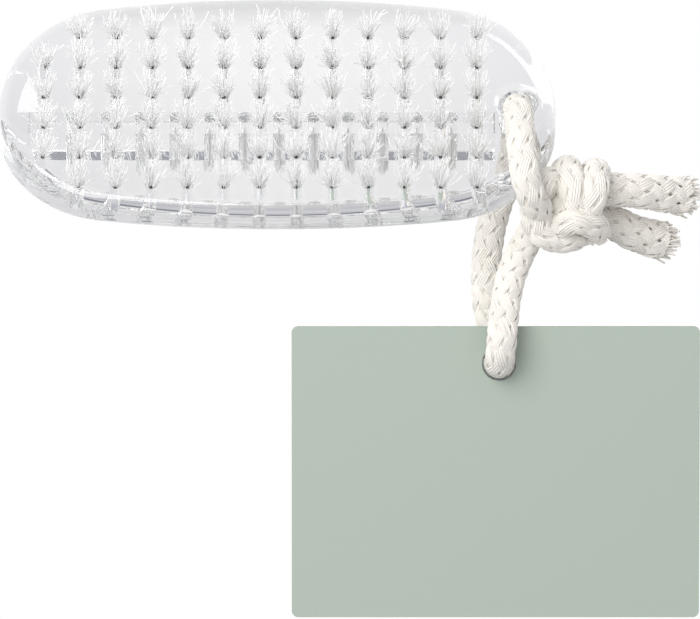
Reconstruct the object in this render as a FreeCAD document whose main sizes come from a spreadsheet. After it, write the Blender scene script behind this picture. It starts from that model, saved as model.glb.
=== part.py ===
"""Nail brush: clear oval body, nylon tufts on both sides, plaited hanging cord and a card tag.

The body, tufts and anchors are drawn flat, face up, with the middle of the bristle face at their
origin, and then laid down as the brush lies on a table: on one long edge and on its back bristles.
The row frame stands on that table, +X along the brush, +Z up. Lengths are in millimetres.
"""
import FreeCAD, Part

import math
import os

import Sketcher

Vector = FreeCAD.Vector

SIZES = {
    # clear body
    "body_length": 100.7,
    "body_width": 47.9,
    "edge_thickness": 6.4,
    "edge_round": 3.0,
    "back_round": 2.0,
    "side_bow_radius": 238.0,
    "end_radius": 22.4,
    "corner_radius": 20.8,
    "land_depth": 11.0,
    "land_width": 4.6,
    "hip_length": 3.2,
    "hip_radius": 3.8,
    # bar along the back
    "bar_length": 84.4,
    "bar_height": 5.6,
    "bar_shift": 2.8,
    "bar_round": 0.5,
    # cord hole
    "cord_hole_diameter": 6.6,
    "cord_hole_place": 43.4,
    "cord_hole_round": 1.2,
    # tufts
    "tuft_pitch": 6.52,
    "row_pitch": 6.5,
    "row_shift": 1.4,
    "first_tuft_place": 42.2,
    "tuft_hole_diameter": 2.3,
    "tuft_hole_depth": 5.2,
    "tuft_root_diameter": 2.1,
    "tuft_tip_diameter": 4.6,
    "tuft_length": 5.0,
    "back_tuft_pitch": 6.24,
    "back_hole_depth": 8.6,
    "back_tip_diameter": 2.8,
    "back_tuft_length": 4.0,
    # anchors
    "anchor_length": 2.0,
    "anchor_thickness": 0.4,
    "anchor_height": 1.4,
    # cord, knot and frayed ends
    "cord_diameter": 5.6,
    "knot_diameter": 16.6,
    "knot_clearance": 0.3,
    "fray_diameter": 7.6,
    "fray_length": 4.5,
    # card tag
    "tag_length": 74.0,
    "tag_height": 53.8,
    "tag_thickness": 0.6,
    "tag_corner_radius": 1.2,
    "tag_hole_diameter": 6.3,
    "tag_hole_from_top": 6.8,
    "tag_hole_from_left": 37.6,
    "tag_hole_height": 9.2,
    # allowance by which cutting profiles run past the solid
    "overrun": 0.5,
}

FACE_ROWS = 6
FULL_ROW_TUFTS = 13
SHORT_ROW_TUFTS = 12
BACK_TUFTS = 12
TUFT_SIDES = 8
APOTHEM_SHARE = math.cos(math.pi / TUFT_SIDES)
# How near to straight up an axis must point to count as upright
UPRIGHT_SHARE = 0.999

# Routes of the cord, points chosen by hand in the row frame. Both stretches start on the axis of
# the cord hole; the first comes out of the face, the second out of the back and through the card.
CORD_FRONT = [
    (44.0, -6.6, 28.4),
    (45.4, -15.2, 29.6),
    (47.8, -18.0, 21.6),
]
CORD_LOOP = [
    (39.4, -17.2, 3.10),
    (37.9, -25.5, 3.10),
    (37.8, -33.2, 3.10),
    (40.1, -45.1, 3.10),
    (40.3, -45.1, 15.8),
    (41.3, -33.0, 13.4),
    (43.2, -26.2, 12.8),
    (46.4, -20.8, 14.6),
]
TAIL_UPPER = [
    (58.0, -13.6, 17.4),
    (63.6, -13.7, 16.0),
    (68.8, -14.3, 13.0),
    (73.2, -14.8, 9.4),
]
TAIL_LOWER = [
    (57.0, -17.4, 12.4),
    (61.6, -20.0, 11.2),
    (65.6, -22.0, 8.8),
    (69.4, -22.8, 6.6),
]
# Where on the hole's axis the stretches meet, and how far along it each leaves before it turns
MEETING_SHARE = 0.84
FRONT_REACH = 3.6
LOOP_REACH = 17.7
KNOT_CENTRE = (52.2, -16.2, 18.0)
# Turn that brings the seam of the knot's round face to its free side
SEAM_TURN = -90
TAG_HOLE_PLACE = (40.2, -45.1)
# Part of the shorter run that an arc of the cord takes up on each side of its point
ARC_SHARE = 0.45

doc = FreeCAD.newDocument("nail_brush")
sheet = doc.addObject("Spreadsheet::Sheet", "sizes")
for line, (alias, value) in enumerate(SIZES.items(), start=1):
    sheet.set(f"A{line}", alias)
    sheet.set(f"B{line}", str(value))
    sheet.setAlias(f"B{line}", alias)
doc.recompute()


def size(alias):
    return float(sheet.get(alias))


def bind(target, prop, formula):
    """Tie one property to a formula in the sheet's aliases, written as {alias}."""
    aliases = {alias: f"sizes.{alias}" for alias in SIZES}
    target.setExpression(prop, formula.format(**aliases))


def origin_feature(body, role):
    return next(item for item in body.Origin.OriginFeatures if item.Role == role)


def new_body(label):
    body = doc.addObject("PartDesign::Body", label)
    body.Label = label
    return body


def new_sketch(body, role, across=None, along=None, lift=None):
    """Sketch on an origin plane of its own body, its origin moved by up to three formulas."""
    sketch = body.newObject("Sketcher::SketchObject", body.Name + "_sketch")
    sketch.AttachmentSupport = [(origin_feature(body, role), "")]
    sketch.MapMode = "FlatFace"
    for axis, formula in zip("xyz", (across, along, lift)):
        if formula:
            bind(sketch, f"AttachmentOffset.Base.{axis}", formula)
    return sketch


def constrain(sketch, kind, *places):
    return sketch.addConstraint(Sketcher.Constraint(kind, *places))


def dimension(sketch, kind, *places, formula):
    """Add a driving dimension that follows a formula; places end with its present value."""
    index = constrain(sketch, kind, *places)
    bind(sketch, f"Constraints[{index}]", formula)


def pin_point(sketch, geometry, point, across=None, along=None):
    """Dimension a point from the sketch origin, to its right and below it, by formulas."""
    place = sketch.getPoint(geometry, point)
    if across:
        dimension(sketch, "DistanceX", -1, 1, geometry, point, place.x, formula=across)
    if along:
        dimension(sketch, "DistanceY", geometry, point, -1, 1, -place.y, formula=along)


def new_feature(body, kind, profile=None):
    feature = body.newObject(f"PartDesign::{kind}", f"{body.Name}_{kind.lower()}")
    if profile:
        feature.Profile = profile
    return feature


def add_circle(sketch, diameter):
    """Circle about the sketch's origin."""
    circle = Part.Circle(Vector(0, 0, 0), Vector(0, 0, 1), size(diameter) / 2)
    index = sketch.addGeometry(circle, False)
    constrain(sketch, "Coincident", index, 3, -1, 1)
    dimension(sketch, "Diameter", index, size(diameter), formula="{" + diameter + "}")


def add_polygon(sketch, points):
    """Closed outline of straight lines; returns the number of its first line."""
    first = sketch.GeometryCount
    count = len(points)
    for index in range(count):
        start = Vector(*points[index], 0)
        end = Vector(*points[(index + 1) % count], 0)
        sketch.addGeometry(Part.LineSegment(start, end), False)
    for index in range(count):
        constrain(sketch, "Coincident", first + index, 2, first + (index + 1) % count, 1)
    return first


def repeat(body, feature, pitch, count):
    """Row of a feature along the brush."""
    pattern = body.newObject("PartDesign::LinearPattern", f"{body.Name}_pattern")
    pattern.Originals = [feature]
    pattern.Direction = (origin_feature(body, "X_Axis"), [""])
    pattern.Mode = "Spacing"
    bind(pattern, "Offset", pitch)
    pattern.Occurrences = count
    body.Tip = pattern


def row_place(row):
    """Formula for a face row's place across the brush, row 0 farthest up."""
    steps = (FACE_ROWS - 1) / 2 - row
    return f"{steps} * {{row_pitch}} - {{row_shift}}"


def row_start(row):
    """Formula for the place of a face row's first tuft; the outer rows start one tuft later."""
    if row in (0, FACE_ROWS - 1):
        return "{tuft_pitch} - {first_tuft_place}"
    return "-{first_tuft_place}"


def row_count(row):
    return SHORT_ROW_TUFTS if row in (0, FACE_ROWS - 1) else FULL_ROW_TUFTS


BACK_START = f"-{{bar_shift}} - {(BACK_TUFTS - 1) / 2} * {{back_tuft_pitch}}"
BAR_END = "-({land_depth} + {bar_height})"


# The way the brush lies: tilted about its long axis until the back bristles touch the table
def lying_placement():
    round_off = size("back_round")
    reach = size("body_width") / 2 - round_off
    fall = size("land_depth") - size("edge_thickness")
    slope = 2 * fall / (size("body_width") - size("land_width"))
    edge_centre = size("edge_thickness") + round_off * (slope - math.hypot(1, slope))
    tip_depth = size("land_depth") + size("bar_height") + size("back_tuft_length")
    rise = tip_depth - edge_centre
    run = reach - size("back_tip_diameter") / 2
    tilt = math.acos(round_off / math.hypot(rise, run)) - math.atan2(run, rise)
    height = reach * math.sin(tilt) + edge_centre * math.cos(tilt) + round_off
    lower = reach * math.cos(tilt) + edge_centre * math.sin(tilt) + round_off
    front_round = size("edge_round")
    upper = (size("body_width") / 2 - front_round) * math.cos(tilt) + front_round * (1 - math.sin(tilt))
    middle = (lower - upper) / 2
    turn = FreeCAD.Rotation(Vector(1, 0, 0), -math.degrees(tilt))
    return FreeCAD.Placement(Vector(0, middle, height), turn)


# Plan outline of the body: bowed sides, flatter ends and rounder corners, all tangent arcs
def add_outline(sketch):
    half_length = size("body_length") / 2
    half_width = size("body_width") / 2
    side, end, corner = size("side_bow_radius"), size("end_radius"), size("corner_radius")
    side_centre = Vector(0, half_width - side, 0)
    end_centre = Vector(half_length - end, 0, 0)
    gap = end_centre - side_centre
    from_side, from_end = side - corner, end - corner
    along = (from_side**2 - from_end**2 + gap.Length**2) / (2 * gap.Length)
    across = math.sqrt(from_side**2 - along**2)
    unit = gap / gap.Length
    corner_centre = side_centre + unit * along + Vector(unit.y, -unit.x, 0) * across
    side_line = corner_centre - side_centre
    end_line = corner_centre - end_centre
    side_angle = math.atan2(side_line.y, side_line.x)
    end_angle = math.atan2(end_line.y, end_line.x)

    def mirrored(centre, flip_x, flip_y):
        return Vector(-centre.x if flip_x else centre.x, -centre.y if flip_y else centre.y, 0)

    straight, back = math.pi, 2 * math.pi
    arcs = [
        (end_centre, end, -end_angle, end_angle),
        (corner_centre, corner, end_angle, side_angle),
        (side_centre, side, side_angle, straight - side_angle),
        (mirrored(corner_centre, True, False), corner, straight - side_angle, straight - end_angle),
        (mirrored(end_centre, True, False), end, straight - end_angle, straight + end_angle),
        (mirrored(corner_centre, True, True), corner, straight + end_angle, straight + side_angle),
        (mirrored(side_centre, False, True), side, straight + side_angle, back - side_angle),
        (mirrored(corner_centre, False, True), corner, back - side_angle, back - end_angle),
    ]
    for centre, radius, start, stop in arcs:
        circle = Part.Circle(centre, Vector(0, 0, 1), radius)
        sketch.addGeometry(Part.ArcOfCircle(circle, start, stop), False)
    count = len(arcs)
    for index in range(count):
        constrain(sketch, "Tangent", index, 2, (index + 1) % count, 1)
    for index, (centre, radius, start, stop) in enumerate(arcs):
        alias = ("end_radius", "corner_radius", "side_bow_radius", "corner_radius")[index % 4]
        dimension(sketch, "Radius", index, radius, formula="{" + alias + "}")
    constrain(sketch, "PointOnObject", 0, 3, -1)
    constrain(sketch, "PointOnObject", 4, 3, -1)
    constrain(sketch, "PointOnObject", 2, 3, -2)
    constrain(sketch, "PointOnObject", 6, 3, -2)
    end_place = "{body_length} / 2 - {end_radius}"
    side_place = "{side_bow_radius} - {body_width} / 2"
    dimension(sketch, "DistanceX", -1, 1, 0, 3, end_centre.x, formula=end_place)
    dimension(sketch, "DistanceX", 4, 3, -1, 1, end_centre.x, formula=end_place)
    dimension(sketch, "DistanceY", 2, 3, -1, 1, -side_centre.y, formula=side_place)
    dimension(sketch, "DistanceY", -1, 1, 6, 3, -side_centre.y, formula=side_place)


# Slope of the back, cut from the full-depth block on one side of the land
def add_gable_profile(sketch):
    inner = size("land_width") / 2
    outer = size("body_width") / 2 + size("overrun")
    land = -size("land_depth")
    below = land - size("overrun")
    edge = -size("edge_thickness")
    half_width = size("body_width") / 2
    past = edge + (edge - land) * size("overrun") / (half_width - inner)
    line = add_polygon(sketch, [(inner, land), (outer, past), (outer, below), (inner, below)])
    rim = sketch.addGeometry(Part.Point(Vector(half_width, edge, 0)), True)
    constrain(sketch, "PointOnObject", rim, 1, line)
    pin_point(sketch, rim, 1, "{body_width} / 2", "{edge_thickness}")
    pin_point(sketch, line, 1, "{land_width} / 2", "{land_depth}")
    pin_point(sketch, line + 2, 1, "{body_width} / 2 + {overrun}", "{land_depth} + {overrun}")
    constrain(sketch, "Vertical", line + 1)
    constrain(sketch, "Horizontal", line + 2)
    constrain(sketch, "Vertical", line + 3)


# Rounded hip that brings the land down to the edge at each end
def add_hip_profile(sketch):
    start = size("body_length") / 2 - size("hip_length")
    stop = size("body_length") / 2 + size("overrun")
    land = -size("land_depth")
    below = land - size("overrun")
    radius = size("hip_radius")
    centre = Vector(start, land + radius, 0)
    turn = math.asin((stop - start) / radius)
    circle = Part.Circle(centre, Vector(0, 0, 1), radius)
    quarter = math.pi / 2
    sketch.addGeometry(Part.ArcOfCircle(circle, -quarter, turn - quarter), False)
    top = centre.y - radius * math.cos(turn)
    corners = [Vector(stop, top, 0), Vector(stop, below, 0), Vector(start, below, 0), Vector(start, land, 0)]
    for first, second in zip(corners, corners[1:]):
        sketch.addGeometry(Part.LineSegment(first, second), False)
    for first, second in ((0, 1), (1, 2), (2, 3)):
        constrain(sketch, "Coincident", first, 2, second, 1)
    constrain(sketch, "Coincident", 3, 2, 0, 1)
    dimension(sketch, "Radius", 0, radius, formula="{hip_radius}")
    pin_point(sketch, 0, 1, "{body_length} / 2 - {hip_length}", "{land_depth}")
    pin_point(sketch, 1, 2, "{body_length} / 2 + {overrun}", "{land_depth} + {overrun}")
    dimension(sketch, "DistanceX", -1, 1, 0, 3, start, formula="{body_length} / 2 - {hip_length}")
    constrain(sketch, "Vertical", 1)
    constrain(sketch, "Horizontal", 2)
    constrain(sketch, "Vertical", 3)


def add_rectangle(sketch, length, width):
    """Rectangle about the sketch's origin."""
    half_length, half_width = size(length) / 2, size(width) / 2
    corners = [
        (-half_length, -half_width),
        (half_length, -half_width),
        (half_length, half_width),
        (-half_length, half_width),
    ]
    line = add_polygon(sketch, corners)
    constrain(sketch, "Horizontal", line)
    constrain(sketch, "Vertical", line + 1)
    constrain(sketch, "Horizontal", line + 2)
    constrain(sketch, "Vertical", line + 3)
    constrain(sketch, "Symmetric", line, 1, line + 2, 1, -1, 1)
    dimension(sketch, "Distance", line, 2 * half_length, formula="{" + length + "}")
    dimension(sketch, "Distance", line + 1, 2 * half_width, formula="{" + width + "}")


def add_octagon(sketch, diameter):
    """Regular polygon inside a circle about the sketch's origin, one corner straight up."""
    radius = size(diameter) / 2
    turns = [math.pi / 2 + 2 * math.pi * corner / TUFT_SIDES for corner in range(TUFT_SIDES)]
    line = add_polygon(sketch, [(radius * math.cos(turn), radius * math.sin(turn)) for turn in turns])
    circle = Part.Circle(Vector(0, 0, 0), Vector(0, 0, 1), radius)
    around = sketch.addGeometry(circle, True)
    constrain(sketch, "Coincident", around, 3, -1, 1)
    for corner in range(TUFT_SIDES):
        constrain(sketch, "PointOnObject", line + corner, 1, around)
    for corner in range(1, TUFT_SIDES):
        constrain(sketch, "Equal", line, line + corner)
    constrain(sketch, "PointOnObject", line, 1, -2)
    dimension(sketch, "Diameter", around, 2 * radius, formula="{" + diameter + "}")


def is_wall(face):
    """True for an upright wall of the plan outline."""
    return isinstance(face.Surface, Part.Cylinder) and abs(face.Surface.Axis.z) > UPRIGHT_SHARE


def edge_names(shape, test):
    """Names of a shape's edges that pass a test."""
    return [f"Edge{number}" for number, edge in enumerate(shape.Edges, start=1) if test(edge)]


def round_edges(body, base, names, radius):
    fillet = body.newObject("PartDesign::Fillet", f"{body.Name}_fillet")
    fillet.Base = (base, names)
    bind(fillet, "Radius", "{" + radius + "}")
    body.Tip = fillet
    doc.recompute()
    return fillet


def mirror_feature(body, feature, role):
    mirror = body.newObject("PartDesign::Mirrored", f"{body.Name}_mirror")
    mirror.Originals = [feature]
    mirror.MirrorPlane = (origin_feature(body, role), [""])
    body.Tip = mirror
    return mirror


def cut_hole(body, diameter, across, along=None, lift=None, depth=None):
    """Round hole from a face into the body; without a depth it goes right through."""
    sketch = new_sketch(body, "XY_Plane", across, along, lift)
    add_circle(sketch, diameter)
    hole = new_feature(body, "Pocket", sketch)
    if depth:
        bind(hole, "Length", depth)
    else:
        hole.Type = "ThroughAll"
    return hole


# Clear body
def make_brush_body():
    body = new_body("brush_body")
    outline = new_sketch(body, "XY_Plane")
    add_outline(outline)
    block = new_feature(body, "Pad", outline)
    block.Reversed = True
    bind(block, "Length", "{land_depth}")

    gable = new_sketch(body, "YZ_Plane")
    add_gable_profile(gable)
    slope = new_feature(body, "Pocket", gable)
    slope.Type = "ThroughAll"
    slope.Midplane = True
    mirror_feature(body, slope, "XZ_Plane")

    hip = new_sketch(body, "XZ_Plane")
    add_hip_profile(hip)
    end = new_feature(body, "Pocket", hip)
    end.Type = "ThroughAll"
    end.Midplane = True
    shell = mirror_feature(body, end, "YZ_Plane")
    doc.recompute()

    near = size("overrun") / 10
    face_rim = edge_names(shell.Shape, lambda edge: edge.BoundBox.ZMin > -near)
    rounded = round_edges(body, shell, face_rim, "edge_round")

    def on_back_rim(edge):
        walls = [is_wall(face) for face in rounded.Shape.ancestorsOfType(edge, Part.Face)]
        return walls.count(True) == 1 and edge.BoundBox.ZMax < near - size("edge_thickness")

    rounded = round_edges(body, rounded, edge_names(rounded.Shape, on_back_rim), "back_round")

    bar_sketch = new_sketch(body, "XY_Plane", "-{bar_shift}", None, "-{edge_thickness}")
    add_rectangle(bar_sketch, "bar_length", "land_width")
    bar = new_feature(body, "Pad", bar_sketch)
    bar.Reversed = True
    bind(bar, "Length", "{land_depth} + {bar_height} - {edge_thickness}")
    doc.recompute()
    bar_end = near - size("land_depth") - size("bar_height")
    bar_rim = edge_names(bar.Shape, lambda edge: edge.BoundBox.ZMax < bar_end)
    rounded = round_edges(body, bar, bar_rim, "bar_round")

    cut_hole(body, "cord_hole_diameter", "{cord_hole_place}")
    doc.recompute()
    shape = body.Tip.Shape
    mouth = edge_names(shape, lambda edge: isinstance(edge.Curve, Part.Circle) and edge.BoundBox.ZMin > -near)
    rounded = round_edges(body, body.Tip, mouth, "cord_hole_round")

    for row in range(FACE_ROWS):
        hole = cut_hole(
            body, "tuft_hole_diameter", row_start(row), row_place(row), None, "{tuft_hole_depth}"
        )
        repeat(body, hole, "{tuft_pitch}", row_count(row))
    hole = cut_hole(body, "tuft_hole_diameter", BACK_START, None, BAR_END, "{back_hole_depth}")
    hole.Reversed = True
    repeat(body, hole, "{back_tuft_pitch}", BACK_TUFTS)
    return body


def taper(tip, length):
    """Formula for the slant of a tuft's sides from its root to its tip."""
    return f"atan(({{{tip}}} - {{tuft_root_diameter}}) / 2 * {APOTHEM_SHARE} / {{{length}}})"


# Bristle tufts of the face, one piece a row
def make_face_tufts(row):
    body = new_body(f"face_tufts_row_{row + 1}")
    sketch = new_sketch(body, "XY_Plane", row_start(row), row_place(row))
    add_octagon(sketch, "tuft_root_diameter")
    tuft = new_feature(body, "Pad", sketch)
    tuft.SideType = "Two sides"
    bind(tuft, "Length", "{tuft_length}")
    bind(tuft, "TaperAngle", taper("tuft_tip_diameter", "tuft_length"))
    bind(tuft, "Length2", "{tuft_hole_depth} - {anchor_height}")
    repeat(body, tuft, "{tuft_pitch}", row_count(row))
    return body


# Bristle tufts of the bar
def make_back_tufts():
    body = new_body("back_tufts_row")
    sketch = new_sketch(body, "XY_Plane", BACK_START, None, BAR_END)
    add_octagon(sketch, "tuft_root_diameter")
    tuft = new_feature(body, "Pad", sketch)
    tuft.SideType = "Two sides"
    bind(tuft, "Length", "{back_hole_depth} - {anchor_height}")
    bind(tuft, "Length2", "{back_tuft_length}")
    bind(tuft, "TaperAngle2", taper("back_tip_diameter", "back_tuft_length"))
    repeat(body, tuft, "{back_tuft_pitch}", BACK_TUFTS)
    return body


# Metal anchors that hold the tufts in their holes
def make_face_anchors(row):
    body = new_body(f"face_anchors_row_{row + 1}")
    sketch = new_sketch(body, "XY_Plane", row_start(row), row_place(row), "-{tuft_hole_depth}")
    add_rectangle(sketch, "anchor_length", "anchor_thickness")
    anchor = new_feature(body, "Pad", sketch)
    bind(anchor, "Length", "{anchor_height}")
    repeat(body, anchor, "{tuft_pitch}", row_count(row))
    return body


def make_back_anchors():
    body = new_body("back_anchors_row")
    sketch = new_sketch(body, "XY_Plane", BACK_START, None, BAR_END + " + {back_hole_depth}")
    add_rectangle(sketch, "anchor_length", "anchor_thickness")
    anchor = new_feature(body, "Pad", sketch)
    anchor.Reversed = True
    bind(anchor, "Length", "{anchor_height}")
    repeat(body, anchor, "{back_tuft_pitch}", BACK_TUFTS)
    return body


# Card tag, drawn about its hole, leaning from the cord down to the table
def make_hang_tag():
    body = new_body("hang_tag")
    sketch = new_sketch(body, "XY_Plane")
    left, right = -size("tag_hole_from_left"), size("tag_length") - size("tag_hole_from_left")
    top, bottom = size("tag_hole_from_top"), size("tag_hole_from_top") - size("tag_height")
    line = add_polygon(sketch, [(left, top), (left, bottom), (right, bottom), (right, top)])
    constrain(sketch, "Vertical", line)
    constrain(sketch, "Horizontal", line + 1)
    constrain(sketch, "Vertical", line + 2)
    constrain(sketch, "Horizontal", line + 3)
    dimension(sketch, "Distance", line, size("tag_height"), formula="{tag_height}")
    dimension(sketch, "Distance", line + 1, size("tag_length"), formula="{tag_length}")
    dimension(sketch, "DistanceX", line, 1, -1, 1, -left, formula="{tag_hole_from_left}")
    dimension(sketch, "DistanceY", -1, 1, line, 1, top, formula="{tag_hole_from_top}")
    card = new_feature(body, "Pad", sketch)
    card.SideType = "Symmetric"
    bind(card, "Length", "{tag_thickness}")
    doc.recompute()
    upright = edge_names(card.Shape, lambda edge: edge.BoundBox.ZLength > size("tag_thickness") / 2)
    round_edges(body, card, upright, "tag_corner_radius")

    lean = math.asin((size("tag_hole_height") - size("tag_thickness") / 2) / -bottom)
    ring = new_sketch(body, "XY_Plane")
    ring.AttachmentOffset = FreeCAD.Placement(Vector(0, 0, 0), Vector(1, 0, 0), -math.degrees(lean))
    add_circle(ring, "tag_hole_diameter")
    hole = new_feature(body, "Pocket", ring)
    hole.Type = "ThroughAll"
    hole.Midplane = True
    place = Vector(*TAG_HOLE_PLACE, size("tag_hole_height"))
    body.Placement = FreeCAD.Placement(place, Vector(1, 0, 0), math.degrees(lean))
    return body


# Cords: straight runs joined by arcs, swept with a round section
def cord_path(label, points):
    stops = [Vector(*point) for point in points]
    edges = []
    start = stops[0]
    radii = []
    for before, corner, after in zip(stops, stops[1:], stops[2:]):
        into, out = corner - before, after - corner
        half_turn = into.getAngle(out) / 2
        trim = ARC_SHARE * min(into.Length, out.Length)
        radius = trim / math.tan(half_turn)
        first = corner - into.normalize() * trim
        last = corner + out.normalize() * trim
        inward = (out - into).normalize()
        middle = corner + inward * (radius / math.cos(half_turn) - radius)
        edges.append(Part.LineSegment(start, first).toShape())
        edges.append(Part.Arc(first, middle, last).toShape())
        start = last
        radii.append(round(radius, 1))
    edges.append(Part.LineSegment(start, stops[-1]).toShape())
    path = Part.Wire(edges)
    print(label, "length", round(path.Length, 1), "radii", radii)
    return path


def sweep(path, diameter):
    start = path.Edges[0].valueAt(path.Edges[0].FirstParameter)
    ahead = path.Edges[0].tangentAt(path.Edges[0].FirstParameter)
    section = Part.Wire(Part.makeCircle(diameter / 2, start, ahead))
    tube = path.makePipeShell([section], True, False)
    print("volume share", round(tube.Volume / (path.Length * math.pi * diameter**2 / 4), 3))
    return tube


def add_shape(label, shape):
    feature = doc.addObject("Part::Feature", label)
    feature.Label = label
    feature.Shape = shape
    return feature


def make_tail(path):
    last = path.Edges[-1]
    end, ahead = last.valueAt(last.LastParameter), last.tangentAt(last.LastParameter)
    narrow, wide = size("cord_diameter") / 2, size("fray_diameter") / 2
    flare = Part.makeCone(narrow, wide, size("fray_length"), end, ahead)
    return sweep(path, size("cord_diameter")).fuse(flare).removeSplitter()


def make_knot(paths, body):
    """Rounded knot with a seat for every cord that enters it, pressed against the body's rim."""
    ball = Part.makeSphere(size("knot_diameter") / 2, Vector(*KNOT_CENTRE))
    ball.rotate(Vector(*KNOT_CENTRE), Vector(0, 0, 1), SEAM_TURN)
    for path in paths:
        ball = ball.cut(sweep(path, size("cord_diameter") + size("knot_clearance")))
    return ball.cut(body)


lying = lying_placement()
brush_pieces = [make_brush_body()]
brush_pieces += [make_face_tufts(row) for row in range(FACE_ROWS)]
brush_pieces += [make_back_tufts()]
brush_pieces += [make_face_anchors(row) for row in range(FACE_ROWS)]
brush_pieces += [make_back_anchors()]
for piece in brush_pieces:
    piece.Placement = lying
tag = make_hang_tag()


def hole_point(depth):
    """Point on the axis of the cord hole, so far below the face."""
    point = lying.multVec(Vector(size("cord_hole_place"), 0, -depth))
    return (point.x, point.y, point.z)


middle = hole_point(size("land_depth") * MEETING_SHARE)
front = cord_path("cord_front", [middle, hole_point(-FRONT_REACH)] + CORD_FRONT)
loop = cord_path("cord_loop", [middle, hole_point(LOOP_REACH)] + CORD_LOOP)
upper = cord_path("tail_upper", TAIL_UPPER)
lower = cord_path("tail_lower", TAIL_LOWER)
cords = [
    add_shape("cord_front", sweep(front, size("cord_diameter"))),
    add_shape("cord_loop", sweep(loop, size("cord_diameter"))),
    add_shape("tail_upper", make_tail(upper)),
    add_shape("tail_lower", make_tail(lower)),
    add_shape("knot", make_knot([front, loop, upper, lower], brush_pieces[0].Shape)),
]
doc.recompute()

bad = [item.Name for item in doc.Objects if "Invalid" in item.State or "Error" in item.State]
pieces = brush_pieces + [tag] + cords
bad += [piece.Label for piece in pieces if piece.Shape.isNull() or not piece.Shape.isValid()]
if bad:
    raise RuntimeError("not built: " + ", ".join(bad))
os.makedirs("parts", exist_ok=True)
for piece in pieces:
    piece.Shape.exportStep(f"parts/{piece.Label}.step")
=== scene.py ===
"""Looks of a clear nail brush with a plaited hanging cord and a card tag, built on its CAD frame.

Blender gets metres in the row frame: +X along the brush, +Z up, table at zero. The values listed
first are in millimetres unless a comment says otherwise.
"""
import itertools
import math
import random

import bpy
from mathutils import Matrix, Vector


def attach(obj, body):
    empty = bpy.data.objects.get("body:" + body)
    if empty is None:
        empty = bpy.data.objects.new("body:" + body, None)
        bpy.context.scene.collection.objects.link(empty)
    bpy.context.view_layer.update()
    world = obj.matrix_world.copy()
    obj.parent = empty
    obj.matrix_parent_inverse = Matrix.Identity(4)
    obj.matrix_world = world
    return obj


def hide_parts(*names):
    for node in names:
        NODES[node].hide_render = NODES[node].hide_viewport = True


bl_info = {
    "name": "Nail brush",
    "version": (1, 0, 0),
    "blender": (4, 5, 0),
    "location": "3D View > Sidebar > Nail brush",
    "description": "Builds the visible pieces of a clear nail brush around its CAD frame",
    "category": "Object",
}

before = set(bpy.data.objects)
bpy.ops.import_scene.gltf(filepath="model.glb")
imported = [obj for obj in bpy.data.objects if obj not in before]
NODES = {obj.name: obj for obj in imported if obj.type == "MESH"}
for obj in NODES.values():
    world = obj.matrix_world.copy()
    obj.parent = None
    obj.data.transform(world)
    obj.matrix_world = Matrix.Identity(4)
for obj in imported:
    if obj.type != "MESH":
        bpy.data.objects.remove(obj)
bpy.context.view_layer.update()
MM = 0.001
SEED = 7

# The way the brush lies on the table
TILT = math.radians(33.16663)
FACE_CENTRE = Vector((0, 2.04675, 18.00982)) * MM
LONG = Vector((1, 0, 0))
ACROSS = Vector((0, math.cos(TILT), -math.sin(TILT)))
OUTWARD = Vector((0, math.sin(TILT), math.cos(TILT)))

# Rows on the face, from the top down; the first and the last lack the tuft at the left
ROW_PLACES = [14.85, 8.35, 1.85, -4.65, -11.15, -17.65]
ROW_TUFTS = 13
FIRST_TUFT = -42.2
TUFT_PITCH = 6.52
# The row in the end of the bar on the back
BAR_END = -16.6
BACK_TUFTS = 12
BACK_CENTRE = -2.8
BACK_PITCH = 6.24
BACK_FIRST = BACK_CENTRE - (BACK_TUFTS - 1) / 2 * BACK_PITCH
# Depth of the roots, reach of the tips from the tuft's middle, share of filaments that go astray
# and, for the back, free length
FACE_TUFT = {"depth": 5.1, "spread": 2.7, "stray": 0.16}
BACK_TUFT = {"height": 3.85, "depth": 8.5, "spread": 1.15, "stray": 0, "on_back": True}
BUNDLE_RADIUS = 0.92
# A filament's points: its root, the mouth of its hole, then shares of its free length
FILAMENT_POINTS = (-1, 0, 0.35, 0.7, 1)
# Filaments closer to the middle than this stand on the anchor, the others beside it
CLEAR_OF_ANCHOR = 0.3
ANCHOR_HEIGHT = 1.45
# How tufts differ: lean of all the tips, then, for one filament, shares of its reach and of its
# length, the same for a stray one, and the radians that it swings round
TIP_LEAN = 0.5
LEAN_SHARES = (0.75, 1.15)
LENGTH_SHARES = (0.88, 1.0)
STRAY_LEAN_SHARES = (1.3, 1.7)
STRAY_LENGTH_SHARE = 0.8
FILAMENT_SWING = 0.5
# Power that makes a filament leave its tuft early and straighten
FAN_CURVE = 0.85
# Painted shadow: a dark sliver in the mouth of each hole on the face, at the lower side of its
# tuft, where shade falls between the filaments
ROOT_SHADOW_BELOW = 0.8
ROOT_SHADOW_HEIGHT = 0.1
ROOT_SHADOW_ENDS = (-0.3, 0.3)
ROOT_SHADOW_RADIUS = 0.22

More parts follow.
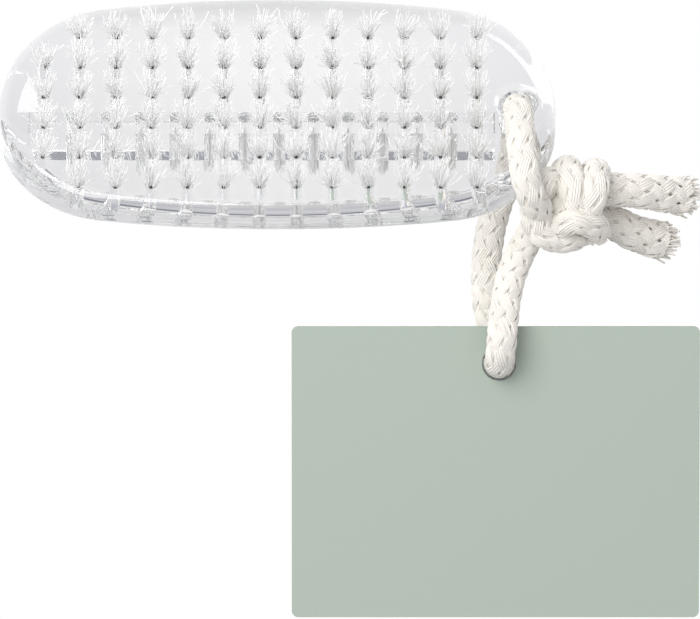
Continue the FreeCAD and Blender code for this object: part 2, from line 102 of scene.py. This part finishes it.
# Cord routes; the first two points lie on the axis of the cord hole
HOLE_ALONG = 43.4
HOLE_MEETING = (HOLE_ALONG, -3.00823, 10.27517)
FRONT_ROUTE = [
    HOLE_MEETING,
    (HOLE_ALONG, 4.01622, 21.02332),
    (44.0, -6.6, 28.4),
    (45.4, -15.2, 29.6),
    (47.8, -18.0, 21.6),
]
LOOP_ROUTE = [
    HOLE_MEETING,
    (HOLE_ALONG, -7.63649, 3.19345),
    (39.4, -17.2, 3.1),
    (37.9, -25.5, 3.1),
    (37.8, -33.2, 3.1),
    (40.1, -45.1, 3.1),
    (40.3, -45.1, 15.8),
    (41.3, -33.0, 13.4),
    (43.2, -26.2, 12.8),
    (46.4, -20.8, 14.6),
]
TAIL_ROUTES = {
    "tail_upper": [
        (56.0, -13.6, 17.8), (63.6, -13.7, 16.0), (68.8, -14.3, 13.0), (73.2, -14.8, 9.4),
    ],
    "tail_lower": [
        (55.6, -16.6, 12.8), (61.6, -20.0, 11.2), (65.6, -22.0, 8.8), (69.4, -22.8, 6.6),
    ],
}
# Turns of the cord in the knot: the round lobe, two over the top, the tuck and two underneath
KNOT_TURNS = [
    [
        (51.2, -12.2, 19.6), (48.6, -11.9, 23.4), (46.4, -15.2, 23.8), (46.6, -20.2, 22.4),
        (49.6, -22.6, 20.4), (53.6, -22.4, 18.6), (56.4, -20.4, 16.2),
    ],
    [
        (51.8, -11.0, 13.6), (52.4, -9.6, 18.6), (52.8, -11.4, 23.0), (53.4, -15.2, 24.0),
        (54.4, -18.6, 21.6),
    ],
    [
        (57.0, -11.4, 13.8), (57.6, -10.0, 18.2), (57.6, -12.2, 22.6), (56.8, -15.6, 23.6),
        (55.4, -18.8, 21.2),
    ],
    [
        (49.4, -21.0, 18.6), (51.4, -19.6, 22.4), (54.2, -18.9, 23.4), (57.0, -19.6, 21.4),
        (57.8, -21.4, 17.4),
    ],
    [
        (47.0, -20.0, 19.0), (46.6, -18.4, 14.0), (50.6, -18.8, 11.6), (55.4, -17.4, 11.8),
        (58.4, -14.0, 14.6),
    ],
    [
        (48.4, -13.6, 18.0), (49.6, -12.2, 13.6), (53.4, -12.4, 11.8), (56.6, -15.2, 11.9),
        (57.6, -19.2, 14.2),
    ],
]
# Ball of cord inside the knot, which shows only in the gaps between the turns
KNOT_CENTRE = (52.2, -16.2, 18.0)
KNOT_FILLING_RADIUS = 5.6
# Points worked out between two points of a route, and the step along the line that they give
ROUTE_STEPS = 24
CORD_STEP = 0.45
CORD_DIAMETER = 5.6
# Strands of the plait that go each way round, and how far they rise and dip to cross
STRANDS = 6
WEAVE = 0.16
# Yarns side by side in a strand: places from its middle, spacing in yarn radii, slant in radians
YARN_PLACES = (-1.5, -0.5, 0.5, 1.5)
YARN_SPACING = 1.4
STRAND_SLANT = 0.5
CORE_CLEARANCE = 0.1
CORE_RESOLUTION = 3
# Loosened ends: times the cord's thickness, widening to the tip, then the fringe of yarns
TAIL_SWELL = 1.12
TAIL_FLARE = 0.2
FRAYS = 170
FRAY_RADIUS = 0.17
FRAY_CIRCLE = 3.2
FRAY_FLARE_SHARES = (0.95, 1.3)
FRAY_LENGTHS = (1.6, 3.2)
FRAY_SWING = 0.3
FRAY_SUNK = 0.6
FRAY_POINTS = (0, 0.4, 0.75, 1)

# Angles in degrees past which an edge stays sharp
BODY_EDGE = 25
TUBE_EDGE = 80

# Fibres of cotton and of card pulp are about 0.02 wide, which is too fine to show in the render,
# so their flecks are drawn as coarse as this
COTTON_FLECK = 0.4
CARD_FLECK = 1 / 3

# The floor seen through the plastic glows with painted light and shade: its painted light by place
# across, full below the face and less at the rim as a painted shadow there, then the darker colour
# that it fades to as painted shade far off, and the distance at which it has it
PAINTED_FLOOR_LIGHT = [(-10, 0.9), (2, 0.97), (8, 1.0), (14, 1.0), (18, 0.82), (22, 0.72)]
FLOOR_FAR = "#B5B6BF"
FLOOR_FAR_FROM = 180
# Shade on the floor in the card's hole, full inside the first distance and gone at the second
CARD_HOLE = (40.2, -45.1, 0)
HOLE_SHADE = (4.5, 7.5)
# Sky by height, 0 at the horizon and 1 overhead: light, one dark strip as from a black card beside
# clear goods, which the bar's lower edge shows, then white
SKY = [
    (0.0, "#DFDFE2"),
    (0.2, "#DFDFE2"),
    (0.26, "#7C7E8E"),
    (0.39, "#8B8E9B"),
    (0.44, "#E7E7EA"),
    (0.55, "#FFFFFF"),
]
SKY_STRENGTH = 0.78
WHITE = (1, 1, 1, 1)
# Floor, lamp and camera, in metres and watts
FLOOR_SIZE = 40
LAMP_PLACE = (-0.35, 0.3, 0.8)
LAMP_AIM = Vector((0.0, -0.02, 0))
LAMP_SIZE = 0.7
LAMP_POWER = 7.2
CAMERA_HEIGHT = 3.0
CAMERA_REACH = 100
# The picture on the table: its middle and its width
PICTURE_CENTRE = (13.18, -35.36)
PICTURE_WIDTH = 127.27
SENSOR_WIDTH = 36
# Bounces that light needs to get through the body past all its holes
BOUNCES = {"max_bounces": 24, "transmission_bounces": 20, "glossy_bounces": 12}


def face_point(along, across, height):
    """Point of the row frame from millimetres along, across and above the bristle face."""
    return FACE_CENTRE + (LONG * along + ACROSS * across + OUTWARD * height) * MM


def colour(value):
    """Linear colour from an sRGB hex code."""
    parts = [int(value[place:place + 2], 16) / 255 for place in (1, 3, 5)]
    return [
        part / 12.92 if part <= 0.04045 else ((part + 0.055) / 1.055) ** 2.4 for part in parts
    ]


def colour_property(name, description, code):
    """Colour that a user can change, with an sRGB hex code as its default."""
    return bpy.props.FloatVectorProperty(
        name=name,
        description=description,
        default=colour(code),
        subtype="COLOR",
        size=3,
        min=0,
        max=1,
    )


class NailBrushColours(bpy.types.PropertyGroup):
    """Colours of the pieces"""

    clear: colour_property("Clear body", "Tint of the clear body", "#FCFCFC")
    nylon: colour_property("Bristles", "Colour of the nylon filaments", "#FBFBFA")
    cord: colour_property("Cord", "Colour of the plaited cord", "#ECE8E1")
    card: colour_property("Card", "Colour of the card tag", "#A6B1A6")
    anchor: colour_property("Anchors", "Colour of the metal anchors", "#E2E3E4")


class NailBrushSizes(bpy.types.PropertyGroup):
    """Sizes of the bristles and the cord"""

    filaments: bpy.props.IntProperty(
        name="Filaments", description="Filaments in each tuft", default=52, min=8, max=80
    )
    filament_radius: bpy.props.FloatProperty(
        name="Filament radius",
        description="Radius of one filament",
        default=0.075 * MM,
        unit="LENGTH",
    )
    tuft_length: bpy.props.FloatProperty(
        name="Tuft length",
        description="Free length of the face tufts",
        default=5.0 * MM,
        unit="LENGTH",
    )
    yarn_radius: bpy.props.FloatProperty(
        name="Yarn radius",
        description="Radius of one yarn of the plait",
        default=0.28 * MM,
        unit="LENGTH",
    )
    plait_pitch: bpy.props.FloatProperty(
        name="Plait pitch",
        description="Length in which a strand goes once round",
        default=27 * MM,
        unit="LENGTH",
    )


# Materials
def add_node(tree, kind, inputs=None, stops=(), **settings):
    """Add a node with its settings, its inputs, which are links or values, and a ramp's stops."""
    node = tree.nodes.new(kind)
    for key, value in settings.items():
        setattr(node, key, value)
    for key, value in (inputs or {}).items():
        if isinstance(value, bpy.types.NodeSocket):
            tree.links.new(value, node.inputs[key])
        else:
            node.inputs[key].default_value = value
    if stops:
        # A new ramp has a stop at each end: these take the list's first and last
        elements = node.color_ramp.elements
        for element, (place, shade) in zip((elements[0], elements[1]), (stops[0], stops[-1])):
            element.position = place
            element.color = (*shade, 1)
        for place, shade in stops[1:-1]:
            elements.new(place).color = (*shade, 1)
    return node


def new_material(name, shade, **sockets):
    """Principled material; its sockets are named with underscores for their spaces."""
    material = bpy.data.materials.new(name)
    material.use_nodes = True
    shader = material.node_tree.nodes["Principled BSDF"]
    shader.inputs["Base Color"].default_value = (*shade, 1)
    for key, value in sockets.items():
        shader.inputs[key.replace("_", " ")].default_value = value
    return material


def flecked(material, fleck, dark, bump):
    """Break up a material's colour and surface with flecks of a size in millimetres."""
    tree = material.node_tree
    shader = tree.nodes["Principled BSDF"]
    base = list(shader.inputs["Base Color"].default_value)
    shade = [part * dark for part in base[:3]]
    coords = add_node(tree, "ShaderNodeTexCoord")
    noise = add_node(
        tree,
        "ShaderNodeTexNoise",
        {"Vector": coords.outputs["Object"], "Scale": 1 / (fleck * MM), "Detail": 6.0},
    )
    mix = add_node(
        tree,
        "ShaderNodeMix",
        {"Factor": noise.outputs["Fac"], "A": (*shade, 1), "B": base},
        data_type="RGBA",
    )
    tree.links.new(mix.outputs["Result"], shader.inputs["Base Color"])
    relief = add_node(
        tree,
        "ShaderNodeBump",
        {"Height": noise.outputs["Fac"], "Strength": bump, "Distance": 0.1 * MM},
    )
    tree.links.new(relief.outputs["Normal"], shader.inputs["Normal"])
    return material


def let_light_through(material):
    """Let light reach what is inside a clear material as if the material weren't there."""
    tree = material.node_tree
    shader = tree.nodes["Principled BSDF"]
    path = add_node(tree, "ShaderNodeLightPath")
    either = add_node(
        tree,
        "ShaderNodeMath",
        {0: path.outputs["Is Shadow Ray"], 1: path.outputs["Is Diffuse Ray"]},
        operation="MAXIMUM",
    )
    gone = add_node(tree, "ShaderNodeBsdfTransparent")
    mix = add_node(
        tree,
        "ShaderNodeMixShader",
        {0: either.outputs[0], 1: shader.outputs[0], 2: gone.outputs[0]},
    )
    tree.links.new(mix.outputs[0], tree.nodes["Material Output"].inputs["Surface"])


def floor_material():
    """Floor that is white to the camera and, where it shows through the plastic, glows with painted
    light and shade by place.
    """
    material = new_material("floor_white", colour("#EFF0F2"), Roughness=0.9)
    tree = material.node_tree
    shader = tree.nodes["Principled BSDF"]
    path = add_node(tree, "ShaderNodeLightPath")
    coords = add_node(tree, "ShaderNodeTexCoord")
    place = add_node(tree, "ShaderNodeSeparateXYZ", {"Vector": coords.outputs["Object"]})
    first, last = PAINTED_FLOOR_LIGHT[0][0], PAINTED_FLOOR_LIGHT[-1][0]
    across = add_node(
        tree,
        "ShaderNodeMapRange",
        {"Value": place.outputs["Y"], "From Min": first * MM, "From Max": last * MM},
    )
    near = add_node(
        tree,
        "ShaderNodeValToRGB",
        {"Fac": across.outputs["Result"]},
        [((spot - first) / (last - first), [light] * 3) for spot, light in PAINTED_FLOOR_LIGHT],
    )
    reach = add_node(
        tree, "ShaderNodeVectorMath", {0: coords.outputs["Object"]}, operation="LENGTH"
    )
    far = add_node(
        tree,
        "ShaderNodeMapRange",
        {"Value": reach.outputs["Value"], "From Max": FLOOR_FAR_FROM * MM},
    )
    # Painted shade: the glow seen through the plastic is darker under the rim and dims to a grey
    # far off
    tint = add_node(
        tree,
        "ShaderNodeMix",
        {
            "Factor": far.outputs["Result"],
            "A": near.outputs["Color"],
            "B": (*colour(FLOOR_FAR), 1),
        },
        data_type="RGBA",
    )
    below = add_node(
        tree, "ShaderNodeEmission", {"Color": tint.outputs["Result"], "Strength": 1.0}
    )
    through = add_node(
        tree,
        "ShaderNodeMixShader",
        {0: path.outputs["Is Transmission Ray"], 1: shader.outputs[0], 2: below.outputs[0]},
    )
    away = add_node(
        tree,
        "ShaderNodeVectorMath",
        {0: coords.outputs["Object"], 1: Vector(CARD_HOLE) * MM},
        operation="DISTANCE",
    )
    unshaded = add_node(
        tree,
        "ShaderNodeMapRange",
        {
            "Value": away.outputs["Value"],
            "From Min": HOLE_SHADE[0] * MM,
            "From Max": HOLE_SHADE[1] * MM,
        },
    )
    seen = add_node(
        tree,
        "ShaderNodeMath",
        {0: path.outputs["Is Camera Ray"], 1: unshaded.outputs["Result"]},
        operation="MULTIPLY",
    )
    glow = add_node(tree, "ShaderNodeEmission", {"Color": WHITE, "Strength": 1.0})
    mix = add_node(
        tree,
        "ShaderNodeMixShader",
        {0: seen.outputs[0], 1: through.outputs[0], 2: glow.outputs[0]},
    )
    tree.links.new(mix.outputs[0], tree.nodes["Material Output"].inputs["Surface"])
    return material


def studio_world():
    """Soft sky that lights the brush, and plain white to the camera."""
    world = bpy.data.worlds.new("studio")
    world.use_nodes = True
    tree = world.node_tree
    coords = add_node(tree, "ShaderNodeTexCoord")
    split = add_node(tree, "ShaderNodeSeparateXYZ", {"Vector": coords.outputs["Generated"]})
    ramp = add_node(
        tree,
        "ShaderNodeValToRGB",
        {"Fac": split.outputs["Z"]},
        [(height, colour(code)) for height, code in SKY],
    )
    sky = tree.nodes["Background"]
    sky.inputs["Strength"].default_value = SKY_STRENGTH
    tree.links.new(ramp.outputs["Color"], sky.inputs["Color"])
    path = add_node(tree, "ShaderNodeLightPath")
    plain = add_node(tree, "ShaderNodeBackground", {"Color": WHITE, "Strength": 1.0})
    mix = add_node(
        tree,
        "ShaderNodeMixShader",
        {0: path.outputs["Is Camera Ray"], 1: sky.outputs[0], 2: plain.outputs[0]},
    )
    tree.links.new(mix.outputs[0], tree.nodes["World Output"].inputs["Surface"])
    return world


# Geometry
def pick(*pieces):
    """Select these pieces alone, the first of them active."""
    bpy.ops.object.select_all(action="DESELECT")
    for piece in pieces:
        piece.select_set(True)
    bpy.context.view_layer.objects.active = pieces[0]


def smooth(piece, angle):
    """Shade a piece smooth, but for edges sharper than an angle in degrees."""
    pick(piece)
    bpy.ops.object.shade_smooth_by_angle(angle=math.radians(angle))


def dress(piece, material):
    """Give a piece this material alone."""
    piece.data.materials.clear()
    piece.data.materials.append(material)


def join(pieces, name):
    """Make one piece of several."""
    pick(*pieces)
    bpy.ops.object.join()
    pieces[0].name = name
    pieces[0].data.name = name
    return pieces[0]


def stand_in(piece, node):
    """Let a piece ride on the brush in place of a CAD node."""
    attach(piece, "brush")
    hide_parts(node)


def curve_piece(name, lines, kind):
    """Curve with one spline of a kind along each list of points."""
    data = bpy.data.curves.new(name, "CURVE")
    data.dimensions = "3D"
    for line in lines:
        spline = data.splines.new(kind)
        spline.points.add(len(line) - 1)
        for point, place in zip(spline.points, line):
            point.co = (*place, 1)
    piece = bpy.data.objects.new(name, data)
    bpy.context.scene.collection.objects.link(piece)
    return piece


def tubes(name, lines, radius, material, resolution=0):
    """One mesh of round tubes along lists of points, closed at both ends."""
    piece = curve_piece(name, lines, "POLY")
    piece.data.bevel_depth = radius
    piece.data.bevel_resolution = resolution
    piece.data.use_fill_caps = True
    pick(piece)
    bpy.ops.object.convert(target="MESH")
    piece = bpy.context.view_layer.objects.active
    dress(piece, material)
    smooth(piece, TUBE_EDGE)
    return piece


def centreline(points, step):
    """Points at even steps along a smooth line led by points in millimetres, and its length."""
    guide = curve_piece("centreline", [[Vector(place) * MM for place in points]], "NURBS")
    guide.data.resolution_u = ROUTE_STEPS
    spline = guide.data.splines[0]
    spline.order_u = 3
    spline.use_endpoint_u = True
    bpy.context.view_layer.update()
    graph = bpy.context.evaluated_depsgraph_get()
    mesh = bpy.data.meshes.new_from_object(guide.evaluated_get(graph))
    raw = [vertex.co.copy() for vertex in mesh.vertices]
    bpy.data.objects.remove(guide)
    bpy.data.meshes.remove(mesh)
    lengths = [0.0]
    for first, second in zip(raw, raw[1:]):
        lengths.append(lengths[-1] + (second - first).length)
    count = round(lengths[-1] / step)
    line, place = [], 0
    for index in range(count + 1):
        goal = lengths[-1] * index / count
        while place < len(raw) - 2 and lengths[place + 1] < goal:
            place += 1
        share = (goal - lengths[place]) / (lengths[place + 1] - lengths[place])
        line.append(raw[place].lerp(raw[place + 1], share))
    return line, lengths[-1]


def side_frames(line):
    """Two unit vectors across the line at each of its points, without twist."""
    frames = []
    ahead = (line[1] - line[0]).normalized()
    side = ahead.orthogonal().normalized()
    for index in range(len(line)):
        before, after = line[max(index - 1, 0)], line[min(index + 1, len(line) - 1)]
        ahead = (after - before).normalized()
        side = (side - ahead * side.dot(ahead)).normalized()
        frames.append((side, ahead.cross(side)))
    return frames


def plait(name, points, material, sizes, swell=1.0, flare=0.0):
    """Cord of flat strands that cross over and under round a core, with its line and length."""
    line, length = centreline(points, CORD_STEP * MM)
    frames = side_frames(line)
    last = len(line) - 1
    yarn = sizes.yarn_radius * swell
    ring = (CORD_DIAMETER / 2 * MM - sizes.yarn_radius) * swell - WEAVE * MM
    wave = WEAVE * MM * swell
    gap = YARN_SPACING * yarn
    lines = []
    for turn, strand, lay in itertools.product((1, -1), range(STRANDS), YARN_PLACES):
        run = []
        for index, (centre, (side, other)) in enumerate(zip(line, frames)):
            phase = 2 * math.pi * index / last * length / sizes.plait_pitch
            angle = turn * phase + (2 * strand + (turn < 0)) * math.pi / STRANDS
            angle += lay * gap / ring / math.cos(STRAND_SLANT)
            reach = ring - turn * wave * math.sin(STRANDS * phase)
            reach *= 1 + flare * (index / last) ** 2
            run.append(centre + (side * math.cos(angle) + other * math.sin(angle)) * reach)
        lines.append(run)
    cover = tubes(name, lines, yarn, material)
    core_radius = ring - CORE_CLEARANCE * MM
    core = tubes(f"{name}_core", [line], core_radius, material, CORE_RESOLUTION)
    return join([cover, core], name), line, length


def tied_knot(material, sizes):
    """Turns of the cord round a ball that closes the gaps between them."""
    turns = [
        plait(f"turn_{index}", turn, material, sizes)[0] for index, turn in enumerate(KNOT_TURNS)
    ]
    bpy.ops.mesh.primitive_uv_sphere_add(
        segments=32,
        ring_count=20,
        radius=KNOT_FILLING_RADIUS * MM,
        location=Vector(KNOT_CENTRE) * MM,
    )
    filling = bpy.context.view_layer.objects.active
    bpy.ops.object.transform_apply(location=True, rotation=True, scale=True)
    dress(filling, material)
    return join([*turns, filling], "tied_knot")


def frayed_tail(draw, name, route, material, sizes):
    """Loose end of the cord, with a fringe of separate yarns at its tip."""
    stem, line, _ = plait(f"{name}_stem", route, material, sizes, TAIL_SWELL, TAIL_FLARE)
    ahead = (line[-1] - line[-2]).normalized()
    side, other = side_frames(line)[-1]
    frays = []
    for _ in range(FRAYS):
        turn = draw.uniform(0, 2 * math.pi)
        start = FRAY_CIRCLE * math.sqrt(draw.random())
        flare = start * draw.uniform(*FRAY_FLARE_SHARES)
        reach = draw.uniform(*FRAY_LENGTHS)
        swing = draw.uniform(-FRAY_SWING, FRAY_SWING)
        run = []
        for share in FRAY_POINTS:
            out = start + (flare - start) * share
            angle = turn + swing * share
            across = side * math.cos(angle) + other * math.sin(angle)
            run.append(line[-1] + (ahead * (reach * share - FRAY_SUNK) + across * out) * MM)
        frays.append(run)
    fringe = tubes(f"{name}_fringe", frays, FRAY_RADIUS * MM, material)
    return join([stem, fringe], f"frayed_{name}")


def tuft_lines(draw, along, across, count, height, depth, spread, stray, on_back=False):
    """Lines of one tuft's filaments: straight in the hole, then fanned out, a few astray."""
    lines = []
    tip_along, tip_across = draw.uniform(-TIP_LEAN, TIP_LEAN), draw.uniform(-TIP_LEAN, TIP_LEAN)
    for _ in range(count):
        turn = draw.uniform(0, 2 * math.pi)
        root = BUNDLE_RADIUS * math.sqrt(draw.random())
        lean = spread * root / BUNDLE_RADIUS * draw.uniform(*LEAN_SHARES)
        length = height * draw.uniform(*LENGTH_SHARES)
        if draw.random() < stray:
            lean *= draw.uniform(*STRAY_LEAN_SHARES)
            length *= STRAY_LENGTH_SHARE
        bend = draw.uniform(-FILAMENT_SWING, FILAMENT_SWING)
        run = []
        for share in FILAMENT_POINTS:
            if share < 0:
                place = root
                beside = abs(root * math.sin(turn)) > CLEAR_OF_ANCHOR
                level = -depth if beside else ANCHOR_HEIGHT - depth
            else:
                place = root + (lean - root) * share**FAN_CURVE
                level = length * share
            above = max(share, 0)
            swing = turn + bend * above**2
            run.append(
                face_point(
                    along + place * math.cos(swing) + tip_along * above,
                    across + place * math.sin(swing) + tip_across * above,
                    BAR_END - level if on_back else level,
                )
            )
        lines.append(run)
    return lines


# Operators, one for each group of pieces
class NAILBRUSH_OT_body(bpy.types.Operator):
    """Give the clear body its polished plastic"""

    bl_idname = "nailbrush.body"
    bl_label = "Clear body"

    def execute(self, context):
        # Cast acrylic, cut and polished: colourless and without grain, so the eye gets only what
        # lies behind it, bent by the surfaces, and bright and dark lines where the edges turn
        tint = context.scene.nailbrush_colours.clear
        clear = new_material(
            "clear_acrylic", tint, Roughness=0.0, Transmission_Weight=1.0, IOR=1.49
        )
        let_light_through(clear)
        body = NODES["brush_body"]
        dress(body, clear)
        smooth(body, BODY_EDGE)
        return {"FINISHED"}


class NAILBRUSH_OT_bristles(bpy.types.Operator):
    """Fill every tuft with filaments"""

    bl_idname = "nailbrush.bristles"
    bl_label = "Bristles"

    def execute(self, context):
        sizes = context.scene.nailbrush_sizes
        # Extruded nylon, cut to length: satin white, with a soft bright streak on each filament
        nylon = new_material("nylon", context.scene.nailbrush_colours.nylon, Roughness=0.4)
        # Painted shadow in the gap between the filaments and the mouth of their hole: a matt dark
        # speck that stands in for the shade there. It has to be drawn because the clear body lets
        # light into the hole
        gap = new_material("root_shade", colour("#2B2C2E"), Roughness=0.6)
        draw = random.Random(SEED)
        height = sizes.tuft_length / MM
        for row, across in enumerate(ROW_PLACES):
            outer = row in (0, len(ROW_PLACES) - 1)
            start = FIRST_TUFT + outer * TUFT_PITCH
            lines, root_shadow_lines = [], []
            for tuft in range(ROW_TUFTS - outer):
                along = start + tuft * TUFT_PITCH
                lines += tuft_lines(draw, along, across, sizes.filaments, height, **FACE_TUFT)
                # Each hole's painted shadow, a short dark tube lying on the face
                below = across - ROOT_SHADOW_BELOW
                root_shadow_lines.append(
                    [face_point(along + end, below, ROOT_SHADOW_HEIGHT) for end in ROOT_SHADOW_ENDS]
                )
            name = f"bristles_row_{row + 1}"
            tufts = tubes(name, lines, sizes.filament_radius, nylon)
            # The dark specks are painted shadow, joined to the row's filaments
            root_shadows = tubes(f"{name}_roots", root_shadow_lines, ROOT_SHADOW_RADIUS * MM, gap, resolution=1)
            stand_in(join([tufts, root_shadows], name), f"face_tufts_row_{row + 1}")
        lines = []
        for tuft in range(BACK_TUFTS):
            along = BACK_FIRST + tuft * BACK_PITCH
            lines += tuft_lines(draw, along, 0, sizes.filaments, **BACK_TUFT)
        back = tubes("bristles_back", lines, sizes.filament_radius, nylon)
        stand_in(back, "back_tufts_row")
        return {"FINISHED"}


class NAILBRUSH_OT_anchors(bpy.types.Operator):
    """Give the anchors their drawn wire"""

    bl_idname = "nailbrush.anchors"
    bl_label = "Anchors"

    def execute(self, context):
        # Drawn metal wire, rolled flat and cut: dull grey-white glints at the bottoms of the holes
        shade = context.scene.nailbrush_colours.anchor
        wire = new_material("anchor_wire", shade, Roughness=0.55, Metallic=1.0)
        for name, node in NODES.items():
            if "anchors" in name:
                dress(node, wire)
        return {"FINISHED"}


class NAILBRUSH_OT_tag(bpy.types.Operator):
    """Give the tag its plain card"""

    bl_idname = "nailbrush.tag"
    bl_label = "Card tag"

    def execute(self, context):
        # Uncoated card, dyed in the pulp and cut: flat matt colour with a faint cloud of fibres
        shade = context.scene.nailbrush_colours.card
        paper = new_material("card", shade, Roughness=0.85)
        card = flecked(paper, CARD_FLECK, dark=0.97, bump=0.2)
        tag = NODES["hang_tag"]
        dress(tag, card)
        return {"FINISHED"}


class NAILBRUSH_OT_cords(bpy.types.Operator):
    """Plait the cord, tie the knot and fray the ends"""

    bl_idname = "nailbrush.cords"
    bl_label = "Cord and knot"

    def execute(self, context):
        sizes = context.scene.nailbrush_sizes
        # Spun cotton, unbleached and plaited: matt off-white, soft at the edges where loose fibres
        # catch the light, and darker in the creases between the strands
        shade = context.scene.nailbrush_colours.cord
        yarn = new_material("cotton_cord", shade, Roughness=0.9, Sheen_Weight=0.2)
        cotton = flecked(yarn, COTTON_FLECK, dark=0.88, bump=0.35)
        front, front_line, front_length = plait("plait_front", FRONT_ROUTE, cotton, sizes)
        loop, loop_line, loop_length = plait("plait_loop", LOOP_ROUTE, cotton, sizes)
        knot = tied_knot(cotton, sizes)
        draw = random.Random(SEED)
        tails = []
        for name, route in TAIL_ROUTES.items():
            tails.append(frayed_tail(draw, name, route, cotton, sizes))
        nodes = ("cord_front", "cord_loop", "knot", *TAIL_ROUTES)
        for piece, node in zip((front, loop, knot, *tails), nodes):
            stand_in(piece, node)

        return {"FINISHED"}


class NAILBRUSH_OT_stage(bpy.types.Operator):
    """Set the floor, light and camera"""

    bl_idname = "nailbrush.stage"
    bl_label = "Stage"

    def execute(self, context):
        scene = context.scene
        bpy.ops.mesh.primitive_plane_add(size=FLOOR_SIZE)
        floor = context.view_layer.objects.active
        floor.name = "floor"
        dress(floor, floor_material())
        scene.world = studio_world()

        bpy.ops.object.light_add(type="AREA", location=LAMP_PLACE)
        lamp = context.view_layer.objects.active
        lamp.data.shape = "DISK"
        lamp.data.size = LAMP_SIZE
        lamp.data.energy = LAMP_POWER
        lamp.rotation_euler = (LAMP_AIM - lamp.location).to_track_quat("-Z", "Y").to_euler()

        along, across = (place * MM for place in PICTURE_CENTRE)
        bpy.ops.object.camera_add(location=(along, across, CAMERA_HEIGHT))
        camera = context.view_layer.objects.active
        camera.data.sensor_width = SENSOR_WIDTH
        camera.data.lens = SENSOR_WIDTH * CAMERA_HEIGHT / (PICTURE_WIDTH * MM)
        camera.data.clip_end = CAMERA_REACH
        scene.camera = camera

        scene.view_settings.view_transform = "Standard"
        for key, value in BOUNCES.items():
            setattr(scene.cycles, key, value)
        return {"FINISHED"}


OPERATORS = [
    NAILBRUSH_OT_body,
    NAILBRUSH_OT_bristles,
    NAILBRUSH_OT_anchors,
    NAILBRUSH_OT_tag,
    NAILBRUSH_OT_cords,
    NAILBRUSH_OT_stage,
]


class NAILBRUSH_PT_panel(bpy.types.Panel):
    """Sizes, colours and operators of the nail brush"""

    bl_label = "Nail brush"
    bl_idname = "NAILBRUSH_PT_panel"
    bl_space_type = "VIEW_3D"
    bl_region_type = "UI"
    bl_category = "Nail brush"

    def draw(self, context):
        for group in (context.scene.nailbrush_sizes, context.scene.nailbrush_colours):
            for key in group.__annotations__:
                self.layout.prop(group, key)
        for operator in OPERATORS:
            self.layout.operator(operator.bl_idname)


CLASSES = [NailBrushColours, NailBrushSizes, *OPERATORS, NAILBRUSH_PT_panel]


def register():
    for item in CLASSES:
        bpy.utils.register_class(item)
    bpy.types.Scene.nailbrush_colours = bpy.props.PointerProperty(type=NailBrushColours)
    bpy.types.Scene.nailbrush_sizes = bpy.props.PointerProperty(type=NailBrushSizes)


def unregister():
    del bpy.types.Scene.nailbrush_sizes
    del bpy.types.Scene.nailbrush_colours
    for item in reversed(CLASSES):
        bpy.utils.unregister_class(item)


def main():
    """Build every piece and the stage in order."""
    register()
    bpy.ops.nailbrush.body()
    bpy.ops.nailbrush.bristles()
    bpy.ops.nailbrush.anchors()
    bpy.ops.nailbrush.tag()
    bpy.ops.nailbrush.cords()
    bpy.ops.nailbrush.stage()


if __name__ == "__main__":
    main()
